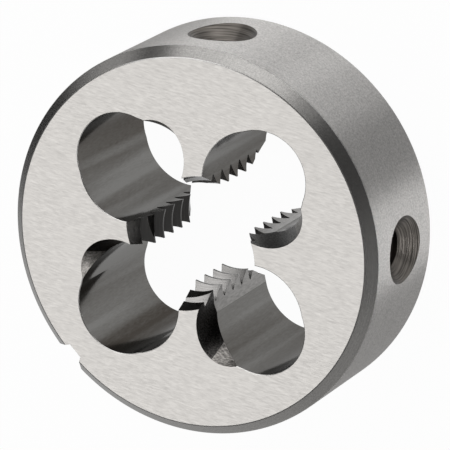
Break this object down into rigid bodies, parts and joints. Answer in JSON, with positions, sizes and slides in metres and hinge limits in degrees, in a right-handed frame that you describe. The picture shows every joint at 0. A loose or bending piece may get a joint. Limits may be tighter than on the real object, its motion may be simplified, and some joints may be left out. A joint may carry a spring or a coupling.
{
  "type": "round threading die",
  "caption": "Solid round die for cutting a right-hand metric external thread: toothed lands with spiral-point gashes, round chip holes, rim dimples and a notch.",
  "frame": {"origin": "centre of the rear face, on the axis of the thread", "axes": "+Z along the thread's axis out of the entry face, +X and +Y through the middles of lands, with the notch at 225 degrees"},
  "size_m": [0.03, 0.03, 0.011],
  "materials": {
    "tool_steel": "hardened and ground, with a fine surface-ground grain"
  },
  "bodies": {
    "root": {"threading_die": "tool_steel"}
  },
  "joints": []
}
